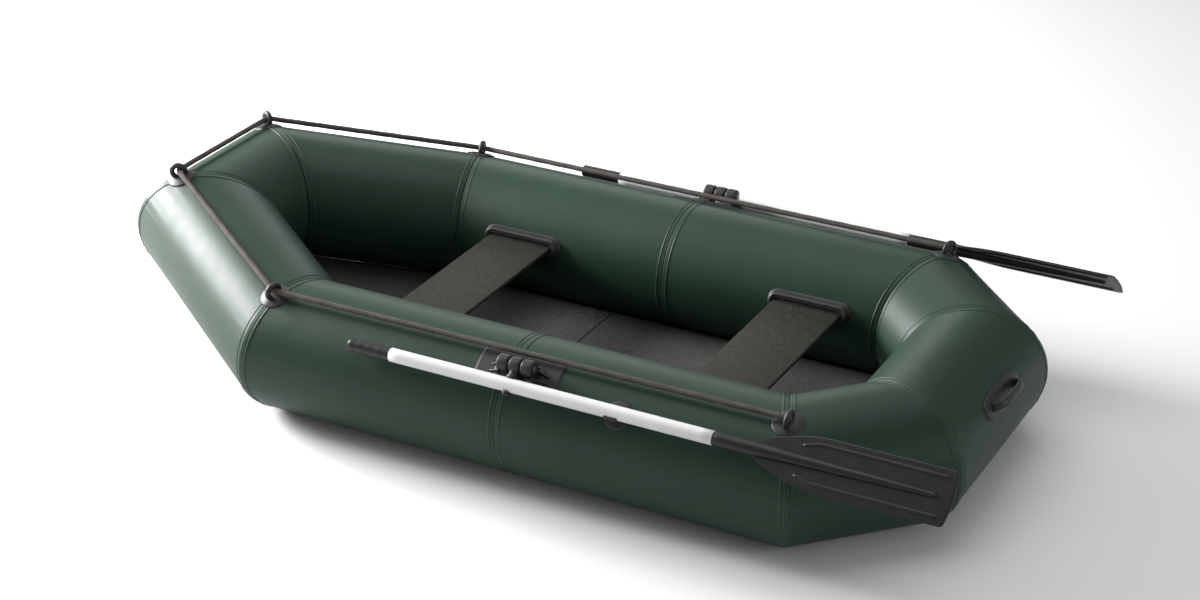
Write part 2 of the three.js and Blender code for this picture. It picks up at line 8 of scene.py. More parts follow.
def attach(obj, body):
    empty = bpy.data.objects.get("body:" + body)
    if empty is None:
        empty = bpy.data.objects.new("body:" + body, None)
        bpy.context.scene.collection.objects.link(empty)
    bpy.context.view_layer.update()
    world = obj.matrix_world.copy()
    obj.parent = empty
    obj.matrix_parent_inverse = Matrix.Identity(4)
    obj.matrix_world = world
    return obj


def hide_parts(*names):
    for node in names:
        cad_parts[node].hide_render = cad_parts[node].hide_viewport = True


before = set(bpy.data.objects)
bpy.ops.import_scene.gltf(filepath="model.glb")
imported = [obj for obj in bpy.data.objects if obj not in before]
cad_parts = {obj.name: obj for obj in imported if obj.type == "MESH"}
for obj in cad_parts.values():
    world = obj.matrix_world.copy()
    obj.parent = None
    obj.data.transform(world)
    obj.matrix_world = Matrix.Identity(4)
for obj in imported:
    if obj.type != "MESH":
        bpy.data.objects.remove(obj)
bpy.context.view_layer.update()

# ---------------------------------------------------------------- sizes, most of them the part's own
TUBE_R = 0.177
SIDE_Y = 0.452
STRAIGHT = 0.702
STERN_X = 0.911
STERN_Y = 0.236
BOW_X = -1.174
BOW_Y = 0.158
BOW_LIFT = 0.100
BLADE_END = 1.172
MIDDLE_X = -(BOW_X - TUBE_R + BLADE_END) / 2
SEAT_X = 0.435
SEAT_W = 0.195
SEAT_TOP = 0.230
SEAT_T = 0.010
SEAT_END_Y = 0.270
HOLDER_LENGTH = 0.228
HOLDER_HEIGHT = 0.050
HOLDER_POLAR = -75
EYELET_POLAR = 21.6
LOOP_TURN = -22
ROPE_R = 0.0073
ROPE_RISE = 0.019
ROPE_TAIL = 0.006
ROPE_BEND = 0.012
ROPE_STRANDS = 3
ROPE_STRAND_RISE = 0.035
ROPE_TWIST = 0.011
OAR_Y = -0.610
OAR_Z = 0.314
OAR_TILT = 43
SHAFT_R = 0.0175
SHAFT_START = -0.298
SHAFT_END = 0.583
SHAFT_WALL = 0.0015
PLUG_R = SHAFT_R - 0.0018
PLUG_LENGTH = 0.06
JOINT_GAP = 0.0003
GRIP_START = -0.419
GRIP_R = 0.0169
GRIP_WAVE = 0.00018
GRIP_WAVES = 4
BLADE_START = 0.680
BLADE_WIDTH = 0.136
BLADE_NECK = 0.0150
BLADE_SHOULDER = 0.385
BLADE_WEB = 0.0019
TIP_BULGE = 0.007
TIP_CORNER_R = 0.009
RIB_END = 1.150
RIB_NEAR = 0.038
RIB_SPREAD = 0.010
RIB_HEIGHT = 0.0030
RIB_HALF = 0.0034
SHANK_R = 0.0166
SPINE_START = 0.70
SPINE_END = 1.132
SPINE_END_R = 0.0070
ARM = 0.052
LOCK_X = 0.037
KNUCKLE_R = 0.0214
KNUCKLE_BORE = 0.0056
KNUCKLE_W = 0.033
BASE_LENGTH = 0.140
BASE_HEIGHT = 0.058
WING_LENGTH = 0.034
WING_HEIGHT = 0.024
CLIP_X = 0.320
CLIP_POLAR = 49
HANDLE_TILT = 27
VALVE_X = 0.590
VALVE_POLAR = -58

# ---------------------------------------------------------------- camera
CAM_AT = (2.683, -5.111, 3.152)
CAM_AZ = 28.05
CAM_EL = 26.57
CAM_LENS = 74.0


def add_camera():
    az, el = math.radians(CAM_AZ), math.radians(CAM_EL)
    back = Vector((math.sin(az) * math.cos(el), -math.cos(az) * math.cos(el), math.sin(el)))
    cam = bpy.data.objects.new("camera", bpy.data.cameras.new("camera"))
    cam.data.lens = CAM_LENS
    cam.data.sensor_width = 36
    cam.location = Vector(CAM_AT) + Vector((MIDDLE_X, 0, 0))
    cam.rotation_euler = back.to_track_quat("Z", "Y").to_euler()
    bpy.context.scene.collection.objects.link(cam)
    bpy.context.scene.camera = cam


add_camera()

# ---------------------------------------------------------------- node helpers


class Mat:
    """A material under construction: a principled shader with object coordinates ready."""

    def __init__(self, name, roughness=0.5, specular=0.5, metallic=0.0):
        self.mat = bpy.data.materials.new(name)
        self.mat.use_nodes = True
        self.tree = self.mat.node_tree
        self.shader = self.tree.nodes["Principled BSDF"]
        self.shader.inputs["Roughness"].default_value = roughness
        self.shader.inputs["Specular IOR Level"].default_value = specular
        self.shader.inputs["Metallic"].default_value = metallic
        self.coords = self.node("ShaderNodeTexCoord").outputs["Object"]
        self.last_bump = None

    def node(self, kind, **values):
        made = self.tree.nodes.new(kind)
        for key, value in values.items():
            if key in made.inputs:
                made.inputs[key].default_value = value
            else:
                setattr(made, key, value)
        return made

    def link(self, a, b):
        self.tree.links.new(a, b)

    def stretched(self, scale, source=None):
        mapping = self.node("ShaderNodeMapping")
        mapping.inputs["Scale"].default_value = scale
        self.link(source or self.coords, mapping.inputs["Vector"])
        return mapping.outputs["Vector"]

    def noise(self, scale, detail=3.0, rough=0.5, vector=None):
        made = self.node("ShaderNodeTexNoise", Scale=scale, Detail=detail, Roughness=rough)
        self.link(vector or self.coords, made.inputs["Vector"])
        return made.outputs["Fac"]

    def ramp(self, fac, stops):
        made = self.node("ShaderNodeValToRGB")
        elements = made.color_ramp.elements
        while len(elements) < len(stops):
            elements.new(0.5)
        for element, (at, colour) in zip(elements, stops):
            element.position = at
            element.color = (*colour, 1) if len(colour) == 3 else colour
        self.link(fac, made.inputs["Fac"])
        return made.outputs["Color"]

    def math(self, operation, a, b):
        made = self.node("ShaderNodeMath", operation=operation)
        for k, value in enumerate((a, b)):
            if isinstance(value, (int, float)):
                made.inputs[k].default_value = value
            else:
                self.link(value, made.inputs[k])
        return made.outputs[0]

    def colour(self, output):
        self.link(output, self.shader.inputs["Base Color"])

    def rough(self, fac, low, high):
        made = self.node("ShaderNodeMapRange")
        made.inputs["To Min"].default_value = low
        made.inputs["To Max"].default_value = high
        self.link(fac, made.inputs["Value"])
        self.link(made.outputs["Result"], self.shader.inputs["Roughness"])

    def bump(self, height, strength, distance):
        made = self.node("ShaderNodeBump", Strength=strength, Distance=distance)
        self.link(height, made.inputs["Height"])
        if self.last_bump:
            self.link(self.last_bump, made.inputs["Normal"])
        self.last_bump = made.outputs["Normal"]
        self.link(self.last_bump, self.shader.inputs["Normal"])


def tones(base, low, high):
    return [tuple(c * k for c in base) for k in (low, high)]


def pvc_material(name, base, roughness):
    m = Mat(name, roughness, specular=0.23)
    cloudy = m.noise(5.0, 2.0)
    dark, light = tones(base, 0.92, 1.08)
    seam = m.node("ShaderNodeAttribute")
    seam.attribute_name = "seam"
    lifted = m.math("ADD", m.math("MULTIPLY", cloudy, 0.4), m.math("MULTIPLY", seam.outputs["Fac"], 0.6))
    # painted highlight: the skin's colour is lightened along thin lines at the seams, standing in for light
    # caught by the raised seam ridges
    seam_highlight = tuple(c + 0.030 for c in light)
    m.colour(m.ramp(lifted, [(0.12, dark), (0.28, light), (0.40, light), (0.95, seam_highlight)]))
    m.rough(m.noise(14.0, 4.0, 0.6), roughness - 0.05, roughness + 0.07)
    m.bump(m.noise(9.0, 2.0), 0.25, 0.004)
    m.bump(m.noise(1400.0, 2.0), 0.06, 0.0004)
    return m.mat


def moulding_material(name, base, roughness, grain=900.0):
    m = Mat(name, roughness, specular=0.30)
    dark, light = tones(base, 0.85, 1.2)
    m.colour(m.ramp(m.noise(30.0, 4.0), [(0.3, dark), (0.7, light)]))
    m.rough(m.noise(60.0, 3.0), roughness - 0.06, roughness + 0.08)
    m.bump(m.noise(grain, 3.0), 0.12, 0.0004)
    return m.mat


def board_material(name, base, stretch, speckle, roughness):
    m = Mat(name, roughness, specular=0.14)
    streaks = m.noise(60.0, 5.0, 0.65, m.stretched(stretch))
    fine = m.noise(speckle, 3.0, 0.7)
    both = m.math("ADD", m.math("MULTIPLY", streaks, 0.45), m.math("MULTIPLY", fine, 0.55))
    dark, light = tones(base, 0.50, 1.62)
    m.colour(m.ramp(both, [(0.40, dark), (0.60, light)]))
    m.rough(fine, roughness - 0.08, roughness + 0.08)
    m.bump(both, 0.5, 0.0012)
    return m.mat


def rope_material():
    m = Mat("rope_cord", 0.85, specular=0.2)
    uv = m.node("ShaderNodeTexCoord").outputs["UV"]
    split = m.node("ShaderNodeSeparateXYZ")
    m.link(uv, split.inputs[0])
    around, along = split.outputs[0], split.outputs[1]
    waves = []
    for turn in (-1.0, 1.0):
        wrapped = m.math("MULTIPLY", around, 8 * turn * 2 * math.pi)
        phase = m.math("ADD", wrapped, m.math("MULTIPLY", along, 900.0))
        waves.append(m.math("SINE", phase, 0))
    braid = m.math("MAXIMUM", waves[0], waves[1])
    grime = m.noise(25.0, 3.0)
    both = m.math("ADD", m.math("MULTIPLY", braid, 0.12), grime)
    m.colour(m.ramp(both, [(0.30, (0.050, 0.043, 0.039)), (0.80, (0.085, 0.075, 0.068))]))
    m.bump(braid, 0.5, 0.0008)
    return m.mat


def metal_material():
    m = Mat("steel_pin", 0.35, metallic=1.0)
    m.colour(m.ramp(m.noise(80.0), [(0.3, (0.20, 0.20, 0.21)), (0.7, (0.30, 0.30, 0.31))]))
    m.rough(m.noise(200.0), 0.28, 0.45)
    m.bump(m.noise(900.0), 0.05, 0.0003)
    return m.mat


def paint_material():
    m = Mat("white_paint", 0.32, specular=0.5)
    m.colour(m.ramp(m.noise(12.0, 3.0), [(0.3, (0.58, 0.58, 0.585)), (0.7, (0.63, 0.63, 0.635))]))
    m.rough(m.noise(45.0, 3.0), 0.28, 0.4)
    m.bump(m.noise(500.0), 0.04, 0.0003)
    return m.mat


GREEN = (0.0105, 0.0305, 0.0180)
PVC = pvc_material("green_pvc", GREEN, 0.45)
PVC_BOTTOM = pvc_material("dark_pvc", (0.050, 0.049, 0.048), 0.60)
RUBBER = moulding_material("black_rubber", (0.020, 0.020, 0.021), 0.44)
PATCH = moulding_material("patch_rubber", (0.018, 0.0185, 0.0185), 0.58, 500.0)
PLASTIC = moulding_material("black_plastic", (0.0105, 0.0105, 0.0105), 0.36)
FLOOR = board_material("floor_board", (0.062, 0.061, 0.061), (1.0, 6.0, 1.0), 260.0, 0.62)
JOINER = board_material("floor_joiner", (0.058, 0.058, 0.058), (4.0, 1.0, 1.0), 300.0, 0.60)
SEAT = board_material("seat_board", (0.0195, 0.0180, 0.0147), (3.0, 1.0, 3.0), 200.0, 0.62)
ROPE = rope_material()
METAL = metal_material()
PAINT = paint_material()

# ---------------------------------------------------------------- mesh helpers


def make(name, verts, faces, material, body, replaces=(), slot=None, uvs=None, flip=False):
    """A smooth-shaded piece from points in hull coordinates (x from the middle of the straight part)."""
    points = np.asarray(verts, float) + (MIDDLE_X, 0, 0)
    if flip:
        points[:, 1] *= -1
        faces = [tuple(reversed(f)) for f in faces]
        if uvs is not None:
            uvs = [list(reversed(u)) for u in uvs]
    mesh = bpy.data.meshes.new(name)
    mesh.from_pydata(points.tolist(), [], faces)
    if uvs is not None:
        layer = mesh.uv_layers.new(name="UVMap")
        layer.data.foreach_set("uv", [c for face in uvs for uv in face for c in uv])
    mesh.validate()
    mesh.materials.append(material)
    mesh.shade_smooth()
    piece = bpy.data.objects.new(name, mesh)
    bpy.context.scene.collection.objects.link(piece)
    if replaces:
        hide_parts(*replaces)
    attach(piece, body)
    return piece


class Builder:
    """Collects points and faces of several shells into one mesh."""

    def __init__(self):
        self.verts = []
        self.faces = []

    def grid(self, rows, closed=False, caps=(False, False)):
        """Rows of equally many points, joined in order; closed joins each row's ends."""
        rows = [list(map(tuple, row)) for row in rows]
        count = len(rows[0])
        start = len(self.verts)
        for row in rows:
            self.verts.extend(row)
        last = count if closed else count - 1
        for r in range(len(rows) - 1):
            a, b = start + r * count, start + (r + 1) * count
            for k in range(last):
                n = (k + 1) % count
                self.faces.append((a + k, a + n, b + n, b + k))
        if caps[0]:
            self.faces.append(tuple(start + k for k in reversed(range(count))))
        if caps[1]:
            end = start + (len(rows) - 1) * count
            self.faces.append(tuple(end + k for k in range(count)))
        return self

    def lathe(self, profile, matrix, sides=40):
        """A body of revolution about the matrix's z axis; a profile point is (radius, height)."""
        rows = []
        for radius, height in profile:
            ring = []
            for k in range(sides):
                t = 2 * math.pi * k / sides
                ring.append(matrix @ Vector((radius * math.cos(t), radius * math.sin(t), height)))
            rows.append(ring)
        has_ends = profile[0] != profile[-1]
        caps = (has_ends and profile[0][0] > 0, has_ends and profile[-1][0] > 0)
        return self.grid(rows, closed=True, caps=caps)

    def piece(self, name, material, body, **more):
        return make(name, self.verts, self.faces, material, body, **more)


def basis(origin, x_axis, z_axis):
    x_axis, z_axis = Vector(x_axis).normalized(), Vector(z_axis).normalized()
    y_axis = z_axis.cross(x_axis).normalized()
    m = Matrix.Identity(4)
    for k, axis in enumerate((x_axis, y_axis, z_axis)):
        m.col[k][:3] = axis
    m.col[3][:3] = Vector(origin)
    return m


def bevel(obj, width, segments=2, angle=35):
    mod = obj.modifiers.new("bevel", "BEVEL")
    mod.width = width
    mod.segments = segments
    mod.limit_method = "ANGLE"
    mod.angle_limit = math.radians(angle)
    obj.data.shade_smooth()
    return obj


def restyle(node, material, width=0.0):
    """A CAD node that stays: its material, and a small bevel on its edges."""
    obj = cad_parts[node]
    obj.data.materials.clear()
    obj.data.materials.append(material)
    if width:
        bevel(obj, width)


def squared_off(c, power):
    """A cosine or sine pushed outwards, which turns a circle into a rounded box."""
    return math.copysign(abs(c) ** power, c)


def tube_drop(y):
    """How far the tube's skin has fallen away at a distance y from where a flat plate touches it."""
    return TUBE_R - math.sqrt(TUBE_R ** 2 - y ** 2)


# ---------------------------------------------------------------- the hull ring
AXIS_Z = TUBE_R
RING = [
    (Vector((BOW_X, -BOW_Y, AXIS_Z + BOW_LIFT)), "bow_port_tube"),
    (Vector((-STRAIGHT, -SIDE_Y, AXIS_Z)), "port_fore_tube"),
    (Vector((0, -SIDE_Y, AXIS_Z)), "port_aft_tube"),
    (Vector((STRAIGHT, -SIDE_Y, AXIS_Z)), "stern_port_tube"),
    (Vector((STERN_X, -STERN_Y, AXIS_Z)), "stern_tube"),
    (Vector((STERN_X, STERN_Y, AXIS_Z)), "stern_starboard_tube"),
    (Vector((STRAIGHT, SIDE_Y, AXIS_Z)), "starboard_aft_tube"),
    (Vector((0, SIDE_Y, AXIS_Z)), "starboard_fore_tube"),
    (Vector((-STRAIGHT, SIDE_Y, AXIS_Z)), "bow_starboard_tube"),
    (Vector((BOW_X, BOW_Y, AXIS_Z + BOW_LIFT)), "bow_tube"),
]
UP = Vector((0, 0, 1))


def ring_at(i):
    return RING[i % len(RING)][0]


def after(i):
    return (ring_at(i + 1) - ring_at(i)).normalized()


def mitre(i):
    return (after(i - 1) + after(i)).normalized()


def hull_distance(p):
    """How far a point is outside the ring's skin."""
    best = 9.0
    for i in range(len(RING)):
        a, b = ring_at(i), ring_at(i + 1)
        if (p - a).dot(mitre(i)) < -1e-6 or (p - b).dot(mitre(i + 1)) > 1e-6:
            continue
        rel = p - a
        best = min(best, (rel - after(i) * rel.dot(after(i))).length - TUBE_R)
    return best


def drape(p, normal, height):
    """Moves a point along a direction until it stands that high above the skin."""
    for _ in range(8):
        p = p + normal * (height - hull_distance(p))
    return p


def outboard_of(i, polar):
    along = mitre(i)
    up = (UP - along * along.z).normalized()
    out = along.cross(up)
    return out * math.sin(math.radians(polar)) + up * math.cos(math.radians(polar))


def on_mitre(i, rise):
    normal = outboard_of(i, EYELET_POLAR)
    along = after(i)
    across = normal - along * normal.dot(along)
    return ring_at(i) + normal * (TUBE_R / across.length + rise)


def on_port(x, polar, rise):
    """A frame on the port side tube: x along the boat, z out of the skin."""
    p = math.radians(polar)
    normal = Vector((0, -math.sin(p), math.cos(p)))
    origin = Vector((x, -SIDE_Y, TUBE_R)) + normal * (TUBE_R + rise)
    return basis(origin, (1, 0, 0), normal)


# ---------------------------------------------------------------- lifeline (a cord, so it comes first)
CORNERS = [3, 1, 0, 9, 8, 6]


def rope_route():
    stops = [on_mitre(i, ROPE_RISE) for i in CORNERS]
    route = [stops[0] + (stops[0] - stops[1]).normalized() * ROPE_TAIL]
    for k, stop in enumerate(stops):
        if k in (0, len(stops) - 1):
            route.append(stop)
            continue
        back = (stops[k - 1] - stop).normalized() * ROPE_BEND
        ahead = (stops[k + 1] - stop).normalized() * ROPE_BEND
        for step in range(7):
            t = step / 6
            route.append(stop + back * (1 - t) ** 2 + ahead * t ** 2)
    route.append(stops[-1] + (stops[-1] - stops[-2]).normalized() * ROPE_TAIL)
    return route


def resample(route, step):
    dense = [route[0]]
    for a, b in zip(route, route[1:]):
        count = max(1, round((b - a).length / step))
        dense.extend(a.lerp(b, k / count) for k in range(1, count + 1))
    return dense


def add_lifeline():
    centres = resample(rope_route(), 0.004)
    sides = 14
    verts, faces, uvs = [], [], []
    travelled = 0.0
    side = None
    for k, centre in enumerate(centres):
        tangent = (centres[min(k + 1, len(centres) - 1)] - centres[max(k - 1, 0)]).normalized()
        if side is None:
            side = tangent.cross(UP).normalized()
        else:
            side = (side - tangent * side.dot(tangent)).normalized()
        other = tangent.cross(side)
        for s in range(sides):
            t = 2 * math.pi * s / sides
            strand = 1 + ROPE_STRAND_RISE * math.cos(ROPE_STRANDS * t - travelled / ROPE_TWIST)
            verts.append(centre + (side * math.cos(t) + other * math.sin(t)) * ROPE_R * strand)
        if k:
            v0, v1 = previous, travelled
            for s in range(sides):
                n = (s + 1) % sides
                a, b = (k - 1) * sides, k * sides
                faces.append((a + s, a + n, b + n, b + s))
                u0, u1 = s / sides, (s + 1) / sides
                uvs.append([(u0, v0), (u1, v0), (u1, v1), (u0, v1)])
        previous = travelled
        if k < len(centres) - 1:
            travelled += (centres[k + 1] - centre).length
    faces.append(tuple(reversed(range(sides))))
    uvs.append([(0, 0)] * sides)
    faces.append(tuple((len(centres) - 1) * sides + s for s in range(sides)))
    uvs.append([(0, 0)] * sides)
    rope = make("lifeline", verts, faces, ROPE, "hull", replaces=["lifeline_rope"], slot="rope", uvs=uvs)


add_lifeline()

# ---------------------------------------------------------------- hull skins
SEAM_HALF = 0.0140
SEAM_LIP = 0.0005
SEAM_RIDGE = 0.0016
SEAM_GROOVE = 0.0015
SEAM_LINE = 0.0011
SEAM_EDGE = 0.0008
# distance of the inner painted highlight line from the seam's middle
SEAM_HIGHLIGHT_LINE = 0.0035
SEAM_DRAW = 0.0007
DRAW_REACH = 0.020
PUCKER_HEIGHT = 0.0009
PUCKER_REACH = 0.03
PUCKERS = 38
RING_STEP = 0.0007
SIDES = 120


def smooth(f):
    f = max(0.0, min(1.0, f))
    return f * f * (3 - 2 * f)


def seam_height(s):
    """Height of the welded seam tape over the skin, s from the seam's middle."""
    edge = smooth((SEAM_HALF + SEAM_EDGE - abs(s)) / (2 * SEAM_EDGE))
    ridges = sum(math.exp(-((s - c) / SEAM_LINE) ** 2) for c in (-SEAM_HALF, SEAM_HALF))
    groove = math.exp(-(s / SEAM_LINE) ** 2)
    return SEAM_LIP * edge + SEAM_RIDGE * ridges - SEAM_GROOVE * groove


def seam_line(s):
    """How much painted highlight lifts the skin's colour along thin lines at and near the seam edges, s
    from the seam's middle.
    """
    return sum(math.exp(-((abs(s) - c) / (0.8 * SEAM_LINE)) ** 2) for c in (SEAM_HALF, SEAM_HIGHLIGHT_LINE))


def stations():
    """Distances from a mitre plane at which the skin has rings."""
    fine = [RING_STEP * k for k in range(30)]
    return fine + [0.024, 0.030, 0.040]


def tube_skin(i):
    a, b = ring_at(i), ring_at(i + 1)
    along = after(i)
    length = (b - a).length
    up = (UP - along * along.z).normalized()
    side = along.cross(up)
    near = stations()
    middle = 14
    rows, seam_highlight = [], []
    turn_a = math.acos(min(1.0, after(i - 1).dot(along)))
    turn_b = math.acos(min(1.0, along.dot(after(i + 1))))
    count = 2 * len(near) + middle - 1
    for k in range(count):
        row = []
        for n in range(SIDES):
            t = 2 * math.pi * n / SIDES
            out = side * math.sin(t) + up * math.cos(t)
            start = -(out * TUBE_R).dot(mitre(i)) / along.dot(mitre(i))
            end = length - (out * TUBE_R).dot(mitre(i + 1)) / along.dot(mitre(i + 1))
            span = end - start
            if k < len(near):
                s = near[k]
            elif k >= count - len(near):
                s = span - near[count - 1 - k]
            else:
                f = (k - len(near) + 1) / middle
                s = near[-1] + (span - 2 * near[-1]) * f
            cos_a, cos_b = along.dot(mitre(i)), along.dot(mitre(i + 1))
            lift = seam_height(s * cos_a) if s < span / 2 else seam_height((span - s) * cos_b)
            # the skin is drawn in a little at a seam and puckers on the inside of a corner
            draw = 0.0
            for dist, turn, m, sign in ((s, turn_a, mitre(i), 1), (span - s, turn_b, mitre(i + 1), -1)):
                draw -= SEAM_DRAW * math.exp(-dist / DRAW_REACH)
                inner = max(0.0, out.dot(m) * sign) if turn > 0.1 else 0.0
                pucker = dist / PUCKER_REACH * math.exp(1 - dist / PUCKER_REACH)
                draw += PUCKER_HEIGHT * min(1.0, 2.5 * inner) * pucker * math.sin(PUCKERS * t + 2.0 * i)
            radius = TUBE_R + lift + draw
            row.append(a + along * (start + s) + out * radius)
            # strength of the painted seam highlight at this point
            seam_highlight.append(seam_line(s * cos_a) if s < span / 2 else seam_line((span - s) * cos_b))
        rows.append(row)
    return rows, seam_highlight


def add_hull():
    for i, (_, node) in enumerate(RING):
        rows, seam_highlight = tube_skin(i)
        build = Builder().grid(rows, closed=True)
        skin = build.piece(node.replace("_tube", "_skin"), PVC, "hull", replaces=[node], slot="hull_pvc")
        # the seam attribute carries the painted highlight strength to the material
        line = skin.data.attributes.new("seam", "FLOAT", "POINT")
        line.data.foreach_set("value", seam_highlight)
    for side in ("port", "starboard"):
        restyle(f"bulkhead_{side}", PVC)


add_hull()

# ---------------------------------------------------------------- bottom and floor


def add_bottom():
    rise = BOW_LIFT / (-STRAIGHT - BOW_X)
    low = 0.026

    def height(x):
        return low + max(0.0, (-STRAIGHT - x) * rise)

    def clear(x, y):
        return hull_distance(Vector((x, y, height(x)))) > 0.0005

    def edge_x(sign):
        x = 0.0
        step = 0.2
        while step > 1e-4:
            if clear(x + sign * step, 0):
                x += sign * step
            else:
                step /= 2
        return x

    first, last = edge_x(-1) + 0.001, edge_x(1) - 0.001
    rows = []
    along, across = 90, 24
    for k in range(along + 1):
        x = first + (last - first) * k / along
        y, step = 0.0, 0.1
        while step > 1e-4:
            if clear(x, y + step):
                y += step
            else:
                step /= 2
        row = []
        for n in range(across + 1):
            v = -1 + 2 * n / across
            sag = -0.004 * (1 - v ** 4) * min(1.0, 8 * (x - first), 8 * (last - x))
            row.append(Vector((x, v * y, height(x) + sag)))
        rows.append(row)
    sheet = Builder().grid(rows).piece("bottom_sheet_skin", PVC_BOTTOM, "hull", replaces=["bottom_sheet"],
                                       slot="bottom_pvc")
    solid = sheet.modifiers.new("thickness", "SOLIDIFY")
    solid.thickness = 0.0012
    solid.offset = 0
    for node in ("floor_panel_fore", "floor_panel_mid", "floor_panel_aft"):
        restyle(node, FLOOR, 0.0012)
    for node in ("floor_joiner_fore", "floor_joiner_aft"):
        restyle(node, JOINER, 0.0006)


add_bottom()

# ---------------------------------------------------------------- seats


def add_seat(node, x):
    """A board whose long edges are rounded; its ends are cut square."""
    half_w, half_t, round_r = SEAT_W / 2, SEAT_T / 2, 0.0042
    section = []
    corners = ((half_w, half_t, 0), (-half_w, half_t, 90), (-half_w, -half_t, 180), (half_w, -half_t, 270))
    for cx, cz, start in corners:
        for k in range(5):
            t = math.radians(start + 90 * k / 4)
            px = cx - math.copysign(round_r, cx) + round_r * math.cos(t)
            pz = cz - math.copysign(round_r, cz) + round_r * math.sin(t)
            section.append((px, pz))
    rows = []
    middle = SEAT_TOP - half_t
    for k in range(25):
        y = -SEAT_END_Y + 2 * SEAT_END_Y * k / 24
        rows.append([Vector((x + px, y, middle + pz)) for px, pz in section])
    board = Builder().grid(rows, closed=True, caps=(True, True))
    board.piece(node + "_board", SEAT, "hull", replaces=[node], slot="seat_board")


def stadium_point(length, height, f):
    """A point and outward direction at fraction f round a stadium outline."""
    r = height / 2
    straight = length - height
    total = 2 * straight + 2 * math.pi * r
    d = f * total
    if d < straight:
        return (-straight / 2 + d, -r), (0, -1)
    d -= straight
    if d < math.pi * r:
        t = -math.pi / 2 + d / r
        return (straight / 2 + r * math.cos(t), r * math.sin(t)), (math.cos(t), math.sin(t))
    d -= math.pi * r
    if d < straight:
        return (straight / 2 - d, r), (0, 1)
    d -= straight
    t = math.pi / 2 + d / r
    return (-straight / 2 + r * math.cos(t), r * math.sin(t)), (math.cos(t), math.sin(t))


def add_holder(node, x, flip):
    """A long moulded ring on the tube's inner wall: welded flange, rounded rim and the seat's recess."""
    m = on_port(x, HOLDER_POLAR, 0)
    profile = [(0.006, 0.0004), (0.0055, 0.0018), (0.003, 0.003), (0.0012, 0.006), (0.0, 0.011),
               (-0.0008, 0.0152), (-0.0030, 0.0184), (-0.0065, 0.0200), (-0.0095, 0.0192),
               (-0.0108, 0.0176), (-0.0114, 0.0168), (-0.0122, 0.0176), (-0.0134, 0.0180),
               (-0.0142, 0.0172), (-0.0146, 0.0155), (-0.0150, 0.0145), (-0.024, 0.0145)]
    around = 96
    rows = []
    for offset, rise in profile:
        row = []
        for k in range(around):
            (px, py), (nx, ny) = stadium_point(HOLDER_LENGTH, HOLDER_HEIGHT, k / around)
            qx, qy = px + nx * offset, py + ny * offset
            follow = 1.0 if rise < 0.004 else 0.6
            row.append(m @ Vector((qx, qy, rise - tube_drop(qy) * follow)))
        rows.append(row)
    build = Builder().grid(rows, closed=True, caps=(False, True))
    build.piece(node + "_moulding", RUBBER, "hull", replaces=[node], slot="black_moulding", flip=flip)


for end, place in (("fore", -SEAT_X), ("aft", SEAT_X)):
    add_seat(f"seat_{end}", place)
    for board_side in ("port", "starboard"):
        add_holder(f"seat_holder_{end}_{board_side}", place, board_side == "starboard")

# ---------------------------------------------------------------- eyelets


def draped_disc(build, m, profile, sides=48, filled=True):
    """A disc moulded to the hull: the profile is (radius, height over the skin)."""
    normal = m.to_3x3() @ Vector((0, 0, 1))
    rows = []
    for radius, rise in profile:
        row = []
        for k in range(sides):
            t = 2 * math.pi * k / sides
            flat = m @ Vector((radius * math.cos(t), radius * math.sin(t), 0))
            row.append(drape(flat, normal, rise))
        rows.append(row)
    build.grid(rows, closed=True, caps=(False, filled))


def add_eyelet(node, i, flip, turn=0.0):
    outward = outboard_of(i, EYELET_POLAR)
    across = Matrix.Rotation(math.radians(turn), 3, outward) @ mitre(i)
    m = basis(on_mitre(i, 0), across, outward)
    build = Builder()
    draped_disc(build, m, [(0.0395, 0.0003), (0.039, 0.0022), (0.037, 0.0032), (0.031, 0.0036),
                           (0.028, 0.0050), (0.020, 0.0056), (0.010, 0.0058), (0.002, 0.0058)])
    # the loop: a thick round ring that stands across the rope, its lower part sunk into the pad
    ring_y, ring_z, middle, bar = 0.018, 0.0176, 0.016, 0.0073
    rows = []
    for k in range(49):
        t = math.radians(-38 + (180 + 2 * 38) * k / 48)
        out = Vector((0, math.cos(t), math.sin(t)))
        centre = Vector((0, ring_y * math.cos(t), middle + ring_z * math.sin(t)))
        row = []
        for n in range(18):
            b = 2 * math.pi * n / 18
            row.append(m @ (centre + out * math.cos(b) * bar + Vector((1, 0, 0)) * math.sin(b) * bar))
        rows.append(row)
    build.grid(rows, closed=True, caps=(True, True))
    build.piece(node + "_moulding", RUBBER, "hull", replaces=[node], slot="black_moulding", flip=flip)


for end, corner in (("bow", 0), ("fore", 1), ("aft", 3)):
    for pad_side in ("port", "starboard"):
        turned = LOOP_TURN if (end, pad_side) == ("aft", "port") else 0.0
        add_eyelet(f"eyelet_{end}_{pad_side}", corner, pad_side == "starboard", turned)

# ---------------------------------------------------------------- oars
OAR_DOWN = Vector((0, -math.cos(math.radians(OAR_TILT)), -math.sin(math.radians(OAR_TILT))))
OAR_AXIS = Vector((0, OAR_Y, OAR_Z))
HINGE = OAR_AXIS - OAR_DOWN * ARM
ALONG_X = basis(OAR_AXIS, (0, 1, 0), (1, 0, 0))
PATCH_POLAR = 36


def add_shaft(side, body, flip):
    """A painted tube with rolled ends; the handle and the blade plug into it."""
    start, end, wall = SHAFT_START, SHAFT_END, SHAFT_WALL
    rings = [(SHAFT_R - wall, start + 0.02), (SHAFT_R - wall, start + 0.0008), (SHAFT_R - wall / 2, start),
             (SHAFT_R, start + 0.0008)]
    rings += [(SHAFT_R, start + (end - start) * k / 30) for k in range(1, 30)]
    rings += [(SHAFT_R, end - 0.0008), (SHAFT_R - wall / 2, end), (SHAFT_R - wall, end - 0.0008),
              (SHAFT_R - wall, end - 0.02)]
    build = Builder().lathe(rings + [rings[0]], ALONG_X, 48)
    build.piece(f"oar_shaft_{side}_tube", PAINT, body, replaces=[f"oar_shaft_{side}"], slot="oar_shaft",
                flip=flip)


